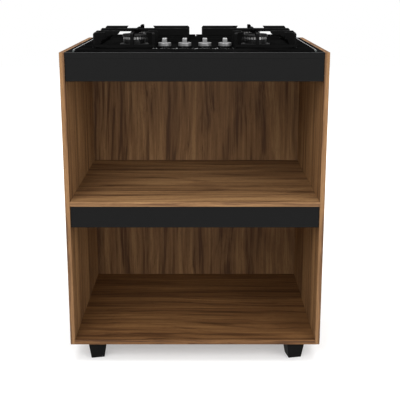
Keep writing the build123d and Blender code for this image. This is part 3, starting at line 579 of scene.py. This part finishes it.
def knob_silver(burner):
    """Satin silver knob: turned skirt, brushed grip, painted highlight on upper edges, dark line in the
    pointer groove.
    """
    material, tree, shader, place = start(
        "knob_silver_" + burner, Metallic=0.6, Specular_IOR_Level=0.05, Specular_Tint=grey(0.35)
    )
    centre = middle("knob_" + burner)
    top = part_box("knob_" + burner)[1].z
    local = turned(tree, place, shift=(-centre.x, -centre.y, -top))
    lines = use(tree, TURNING_LINES, Vector=local, Pitch=KNOB_PITCH)
    brushed = noise(tree, scaled(tree, local, *BRUSH_SCALE))
    edges = use(tree, UPPER_EDGES, Normal=face_normal(tree))
    silver = blend(tree, lines["Mask"], *TURNED_SILVER)
    silver = blend(tree, spread(tree, brushed, *CRISP_SPAN, 0.0, BRUSH_SHARE), silver, BRUSHED_SILVER)
    # Painted highlight: upward-facing edges are lightened towards bright silver
    silver = blend(tree, calc(tree, "MULTIPLY", edges["Mask"], PAINTED_HIGHLIGHT_SHARE), silver, PAINTED_HIGHLIGHT_SILVER)
    parts = parts_of(tree, local)
    groove = spread(tree, calc(tree, "ABSOLUTE", parts["X"]), *GROOVE_SIDES, 1.0, 0.0)
    groove = calc(tree, "MULTIPLY", groove, spread(tree, parts["Z"], *GROOVE_FLOOR))
    groove = calc(tree, "MULTIPLY", groove, spread(tree, parts["Z"], *GROOVE_RIM, 1.0, 0.0))
    feed(tree, shader["Base Color"], blend(tree, groove, silver, POINTER_LINE))
    roughen(tree, shader, brushed, low=0.3, high=0.42, span=EVEN_SPAN)
    bump(tree, shader, lines["Mask"], depth=0.00001)
    return material


def glazed_ceramic():
    """White glazed ceramic with a warm cast."""
    material, tree, shader, place = start("ceramic")
    patches = use(tree, SOFT_CLOUDS, Vector=place, Scale=300.0)
    feed(tree, shader["Base Color"], blend(tree, patches["Mask"], *CERAMIC))
    roughen(tree, shader, patches["Mask"], low=0.15, high=0.25)
    return material


def dress(material, *names):
    """Gives CAD nodes a material."""
    for name in names:
        mesh = nodes[name].data
        mesh.materials.clear()
        mesh.materials.append(material)


def by_prefix(prefix):
    """The names of all CAD nodes that begin alike."""
    return [name for name in nodes if name.startswith(prefix)]


dress(wood_laminate_upright(), "side_panel_left", "side_panel_right")
dress(wood_laminate_level("shelf_laminate", SHELF_CUT, PLAIN_TONE), "middle_shelf")
# The bottom board is toned darker, partly as painted shade
dress(wood_laminate_level("bottom_laminate", BOTTOM_CUT, BOTTOM_TONE_AND_SHADE), "bottom_panel")
dress(black_laminate(), "worktop", "upper_front_rail", "lower_front_rail", "upper_rear_rail")
dress(back_board(), "back_panel")
dress(fine_grained("foot_plastic", FOOT_PLASTIC, scale=1200.0, specular=0.04),
      *by_prefix("foot_front"), *by_prefix("foot_rear"))
dress(plated_metal("zinc_steel", ZINC_STEEL, scale=160.0, roughness=(0.28, 0.42)),
      "foot_studs", "foot_inserts", "side_screws", "corner_brackets", "bracket_screws", "hob_clamps",
      "clamp_screws")
dress(fine_grained("cap_plastic", CAP_PLASTIC, scale=900.0), "screw_caps")
dress(beech(), "dowels")
dress(black_glass(), "hob_glass")
dress(fine_grained("foam", FOAM, scale=2600.0, specular=0.1, roughness=(0.85, 0.95), depth=0.0002),
      "hob_seal")
dress(plated_metal("tray_steel", TRAY_STEEL, scale=60.0, roughness=(0.35, 0.5)), "hob_tray")
# The burner cups are simply made dark
dress(fine_grained("dark_cup", DARK_CUP, scale=900.0, specular=0.04), "burner_cups")
dress(black_enamel(), *by_prefix("burner_cap"))
dress(glazed_ceramic(), "spark_electrodes")
dress(plated_metal("brass", BRASS, scale=200.0, roughness=(0.25, 0.4)),
      "injectors", "gas_valves", "gas_inlet")
dress(plated_metal("gas_pipe", PIPE_STEEL, scale=90.0, roughness=(0.3, 0.45)), "gas_manifold", "gas_tubes")
dress(plated_metal("stem_steel", BRIGHT_STEEL, scale=220.0, roughness=(0.25, 0.35)),
      *by_prefix("spring_seat"))
dress(plated_metal("blackened_steel", BLACKENED_STEEL, scale=220.0, roughness=(0.4, 0.55), metallic=0.8),
      *by_prefix("valve_stem"))
dress(fine_grained("seal_rubber", SEAL_RUBBER, scale=1800.0, specular=0.15, roughness=(0.65, 0.8)),
      "knob_seals", *by_prefix("support_feet"))
dress(fine_grained("module_plastic", MODULE_PLASTIC, scale=1000.0, specular=0.4), "ignition_module")
dress(cast_iron(), *by_prefix("pan_support"))
for burner in BURNERS:
    dress(burner_alloy(burner), "burner_crown_" + burner)
    dress(knob_silver(burner), "knob_" + burner)


def new_geometry_tree(name, taken, sizes):
    """A geometry tree: returns it, its given sockets, the socket it fills, and its sizes by identifier."""
    tree = bpy.data.node_groups.new(name, "GeometryNodeTree")
    face = tree.interface
    face.new_socket("Geometry", in_out="OUTPUT", socket_type="NodeSocketGeometry")
    face.new_socket(taken, in_out="INPUT", socket_type="NodeSocketGeometry")
    settings = {}
    for label, size in sizes.items():
        socket = face.new_socket(label, in_out="INPUT", socket_type="NodeSocketFloat")
        settings[socket.identifier] = size
    given = tree.nodes.new("NodeGroupInput").outputs
    wanted = tree.nodes.new("NodeGroupOutput").inputs
    return tree, given, wanted["Geometry"], settings


def end_tree(tree, wanted, geometry, material):
    """Ends a geometry tree in plain meshes of one material."""
    real = node(tree, "GeometryNodeRealizeInstances", {0: geometry}).outputs[0]
    dressed = node(tree, "GeometryNodeSetMaterial", {"Geometry": real, "Material": material})
    feed(tree, wanted, dressed.outputs[0])


def made_by(tree, seed_mesh, settings):
    """Runs a geometry tree on a mesh with the given sizes and returns the plain mesh that it makes."""
    maker = bpy.data.objects.new("maker", seed_mesh)
    scene.collection.objects.link(maker)
    modifier = maker.modifiers.new("tree", "NODES")
    modifier.node_group = tree
    for identifier, size in settings.items():
        modifier[identifier] = size
    made = maker.evaluated_get(bpy.context.evaluated_depsgraph_get())
    mesh = bpy.data.meshes.new_from_object(made)
    bpy.data.objects.remove(maker)
    return mesh


def place_piece(name, mesh):
    """Adds a finished mesh as a piece that stays with the cabinet."""
    piece = bpy.data.objects.new(name, mesh)
    scene.collection.objects.link(piece)
    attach(piece, "root")


# Printed marks on the glass: round each knob's front a crescent from a large to a small flame, and beside it
# a key of the four burners, all placed from the knob's middle
FLAME_SIDE = 0.019
FLAME_FRONT = 0.02
SMALL_FLAME = 0.0012
LARGE_FLAME = 0.0028
CRESCENT_RADIUS = 0.0215
CRESCENT_WIDTH = 0.0005
CRESCENT_SWEEP = math.radians(70)
KEY_SIDE = 0.025
KEY_FRONT = 0.029
KEY_PITCH = 0.0036
KEY_DOT = 0.0007
KEY_CHOSEN_DOT = 0.0013
INK_THICKNESS = 0.00008
INK_SINK = 0.00002
# Shapes of the marks, as shares of their size, and how finely they are drawn
FLAME_WIDTH = 0.55
FLAME_TAPER = 0.45
FLAME_LENGTH = 1.5
STRIP_ENDS = (-0.5, 0.5)
CRESCENT_TIP = 0.25
CRESCENT_STEPS = 24
DISC_SIDES = 20
DOT, FLAME, CRESCENT = range(3)


def points_of(tree):
    """The coordinates of a mesh's own points."""
    return parts_of(tree, node(tree, "GeometryNodeInputPosition").outputs[0])


def reshaped(tree, mesh, x, y, z):
    """A mesh with its points moved to new coordinates."""
    feeds = {"Geometry": mesh, "Position": vector_of(tree, x, y, z)}
    return node(tree, "GeometryNodeSetPosition", feeds).outputs[0]


def attribute(tree, name, kind):
    """A named value that each point carries."""
    return node(tree, "GeometryNodeInputNamedAttribute", {"Name": name}, data_type=kind).outputs[0]


def flame(tree, disc):
    """A disc drawn out into a flame with its tip at the back."""
    x, y, z = points_of(tree)
    narrowing = calc(tree, "MULTIPLY_ADD", y, -FLAME_TAPER, FLAME_WIDTH)
    return reshaped(
        tree, disc, calc(tree, "MULTIPLY", x, narrowing), calc(tree, "MULTIPLY", y, FLAME_LENGTH), z
    )


def crescent(tree, thickness, radius, full_width):
    """A strip bent round the front of a circle, with its thin end on the right."""
    x, y, z = points_of(tree)
    feeds = {"Size": vector_of(tree, 1.0, 1.0, thickness), "Vertices X": CRESCENT_STEPS + 1}
    strip = node(tree, "GeometryNodeMeshCube", feeds).outputs["Mesh"]
    width = calc(tree, "MULTIPLY", full_width, spread(tree, x, *STRIP_ENDS, 1.0, CRESCENT_TIP))
    reach = calc(tree, "MULTIPLY_ADD", y, width, radius)
    turn = calc(tree, "MULTIPLY_ADD", x, CRESCENT_SWEEP, -math.pi / 2)
    bent_x = calc(tree, "MULTIPLY", reach, calc(tree, "COSINE", turn))
    bent_y = calc(tree, "MULTIPLY", reach, calc(tree, "SINE", turn))
    return reshaped(tree, strip, bent_x, bent_y, z)


def mark_tree(ink):
    """A tree that sets a dot, a flame or a crescent of thin ink on each point, as large as the point says."""
    tree, given, wanted, settings = new_geometry_tree("printed_marks", "Points", {
        "Ink thickness": INK_THICKNESS,
        "Crescent radius": CRESCENT_RADIUS,
        "Crescent width": CRESCENT_WIDTH,
    })
    thickness = given["Ink thickness"]
    sides = {"Vertices": DISC_SIDES, "Radius": 1.0, "Depth": thickness}
    disc = node(tree, "GeometryNodeMeshCylinder", sides).outputs["Mesh"]
    shapes = {
        DOT: disc,
        FLAME: flame(tree, disc),
        CRESCENT: crescent(tree, thickness, given["Crescent radius"], given["Crescent width"]),
    }
    size = attribute(tree, "size", "FLOAT")
    shape = attribute(tree, "shape", "INT")
    scale = vector_of(tree, size, size, 1.0)
    joined = node(tree, "GeometryNodeJoinGeometry")
    for mark, mesh in shapes.items():
        sought = {COMPARE_FIRST: shape, COMPARE_SECOND: mark}
        chosen = node(tree, "FunctionNodeCompare", sought, data_type="INT", operation="EQUAL").outputs[0]
        feeds = {"Points": given["Points"], "Instance": mesh, "Selection": chosen, "Scale": scale}
        feed(tree, joined.inputs[0], node(tree, "GeometryNodeInstanceOnPoints", feeds).outputs[0])
    end_tree(tree, wanted, joined.outputs[0], ink)
    return tree, settings


def mark_points():
    """Where each mark sits on the glass: (place, size, shape)."""
    glass_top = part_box("hob_glass")[1].z
    level = glass_top + INK_THICKNESS / 2 - INK_SINK
    points = []
    for burner in KNOB_ORDER:
        knob = middle("knob_" + burner)
        points.append((Vector((knob.x, knob.y, level)), 1.0, CRESCENT))
        for side, size in ((-1, LARGE_FLAME), (1, SMALL_FLAME)):
            points.append((Vector((knob.x + side * FLAME_SIDE, knob.y - FLAME_FRONT, level)), size, FLAME))
        key = Vector((knob.x - KEY_SIDE, knob.y - KEY_FRONT, level))
        for other in BURNERS:
            row = 1 if other.startswith("rear") else -1
            column = 1 if other.endswith("right") else -1
            spot = key + Vector((column * KEY_PITCH / 2, row * KEY_PITCH / 2, 0.0))
            points.append((spot, KEY_CHOSEN_DOT if other == burner else KEY_DOT, DOT))
    return points


def printed_marks():
    """All marks as one thin piece on the glass."""
    tree, settings = mark_tree(printed_ink())
    places, sizes, shapes = zip(*mark_points())
    cloud = bpy.data.meshes.new("mark_points")
    cloud.from_pydata(places, [], [])
    cloud.attributes.new("size", "FLOAT", "POINT").data.foreach_set("value", sizes)
    cloud.attributes.new("shape", "INT", "POINT").data.foreach_set("value", shapes)
    place_piece("printed_marks", made_by(tree, cloud, settings))


printed_marks()

# A bright metal line along both sides of the glass, turned round its front corners
TRIM_RADIUS = 0.0007
TRIM_SIDES = 10
TRIM_INSET = 0.0022
TRIM_RISE = 0.0001
TRIM_BACK_GAP = 0.012
GLASS_CORNER = 0.012
TRIM_TURN = math.radians(62)
TRIM_STEPS = 8


def trim_paths():
    """The points of the two lines, each from the back of the glass to its front corner."""
    low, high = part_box("hob_glass")
    level = high.z + TRIM_RISE
    bend = GLASS_CORNER - TRIM_INSET
    centre = Vector((high.x - GLASS_CORNER, low.y + GLASS_CORNER, level))
    path = [Vector((centre.x + bend, high.y - TRIM_BACK_GAP, level))]
    for step in range(TRIM_STEPS + 1):
        angle = TRIM_TURN * step / TRIM_STEPS
        path.append(centre + Vector((bend * math.cos(angle), -bend * math.sin(angle), 0.0)))
    return [path, [Vector((-point.x, point.y, point.z)) for point in path]]


def trim_tree(metal):
    """A tree that makes a round bead along each line of points."""
    tree, given, wanted, settings = new_geometry_tree("side_trim", "Lines", {"Bead radius": TRIM_RADIUS})
    path = node(tree, "GeometryNodeMeshToCurve", {"Mesh": given["Lines"]}).outputs[0]
    ring_feeds = {"Resolution": TRIM_SIDES, "Radius": given["Bead radius"]}
    ring = node(tree, "GeometryNodeCurvePrimitiveCircle", ring_feeds).outputs[0]
    bead_feeds = {"Curve": path, "Profile Curve": ring, "Fill Caps": True}
    end_tree(tree, wanted, node(tree, "GeometryNodeCurveToMesh", bead_feeds).outputs[0], metal)
    return tree, settings


def side_trim():
    """Both lines as one piece on the glass."""
    metal = plated_metal("trim_steel", BRIGHT_STEEL, scale=120.0, roughness=(0.25, 0.35))
    tree, settings = trim_tree(metal)
    points, edges = [], []
    for path in trim_paths():
        first = len(points)
        points += path
        edges += [(index, index + 1) for index in range(first, len(points) - 1)]
    lines = bpy.data.meshes.new("trim_lines")
    lines.from_pydata(points, edges, [])
    place_piece("side_trim", made_by(tree, lines, settings))


side_trim()

# Studio: a pale floor that the camera sees as white apart from the shadow, soft boxes and a plain white world
FLOOR_SIZE = 14.0
FLOOR_ALBEDO = 0.72
FLOOR_ROUGHNESS = 0.9
FLOOR_GLOW_NEAR = 0.36
FLOOR_GLOW_FAR = 0.75
FLOOR_NEAR = 0.7
FLOOR_FAR = 2.6
WORLD_LIGHT = 0.62
# Each soft box: its place, its size, its power, and whether gloss mirrors it
LIGHTS = {
    "key_box": ((-1.5, -2.7, 2.3), (2.4, 1.8), 62.0, True),
    "fill_box": ((1.9, -2.4, 1.5), (1.8, 1.8), 34.0, True),
    "top_box": ((0.0, -0.2, 2.9), (2.4, 2.0), 46.0, True),
    "back_box": ((0.6, 2.6, 2.2), (2.4, 1.6), 30.0, False),
}
LIGHT_AIM = Vector((0.0, 0.0, 0.45))


def seen_directly(tree):
    """1 where the camera, a mirror or clear glass looks at the surface, and 0 where it only sheds light."""
    path = node(tree, "ShaderNodeLightPath").outputs
    seen = calc(tree, "MAXIMUM", path["Is Camera Ray"], path["Is Glossy Ray"])
    return calc(tree, "MAXIMUM", seen, path["Is Transmission Ray"])


def studio_floor():
    """A flat floor that glows a little more the further it is from the cabinet."""
    mesh = bpy.data.meshes.new("floor")
    half = FLOOR_SIZE / 2
    corners = [(-half, -half, 0), (half, -half, 0), (half, half, 0), (-half, half, 0)]
    mesh.from_pydata(corners, [], [(0, 1, 2, 3)])
    floor = bpy.data.objects.new("floor", mesh)
    scene.collection.objects.link(floor)
    material, tree, shader, place = start(
        "floor",
        Base_Color=grey(FLOOR_ALBEDO),
        Roughness=FLOOR_ROUGHNESS,
        Specular_IOR_Level=0.0,
        Emission_Color=grey(1.0),
    )
    glow = spread(tree, length_of(tree, place), FLOOR_NEAR, FLOOR_FAR, FLOOR_GLOW_NEAR, FLOOR_GLOW_FAR)
    feed(tree, shader["Emission Strength"], calc(tree, "MULTIPLY", glow, seen_directly(tree)))
    mesh.materials.append(material)


def studio_world():
    """A plain white world that lights the cabinet less than it shows."""
    world = bpy.data.worlds.new("studio")
    world.use_nodes = True
    tree = world.node_tree
    light = tree.nodes["Background"].inputs
    light["Color"].default_value = grey(1.0)
    feed(tree, light["Strength"], spread(tree, seen_directly(tree), 0.0, 1.0, WORLD_LIGHT, 1.0))
    scene.world = world


def studio_lights():
    """The soft boxes, all turned to the cabinet."""
    for name, (place, size, power, mirrored) in LIGHTS.items():
        data = bpy.data.lights.new(name, "AREA")
        data.shape = "RECTANGLE"
        data.size, data.size_y = size
        data.energy = power
        lamp = bpy.data.objects.new(name, data)
        lamp.location = place
        lamp.rotation_euler = (LIGHT_AIM - Vector(place)).to_track_quat("-Z", "Y").to_euler()
        lamp.visible_glossy = mirrored
        scene.collection.objects.link(lamp)


# Camera at the photograph's eye height, looking slightly down
CAMERA_PLACE = (0.016, -2.147, 0.973)
CAMERA_PITCH = 0.2286
CAMERA_SENSOR = 36.0
CAMERA_LENS = 70.54
CAMERA_SHIFT = (-0.003, -0.09)


def camera():
    """The scene's camera."""
    data = bpy.data.cameras.new("camera")
    data.sensor_width = CAMERA_SENSOR
    data.lens = CAMERA_LENS
    data.shift_x, data.shift_y = CAMERA_SHIFT
    eye = bpy.data.objects.new("camera", data)
    eye.location = CAMERA_PLACE
    eye.rotation_euler = (math.pi / 2 - CAMERA_PITCH, 0.0, 0.0)
    scene.collection.objects.link(eye)
    scene.camera = eye


studio_floor()
studio_world()
studio_lights()
camera()
scene.view_settings.view_transform = "Standard"
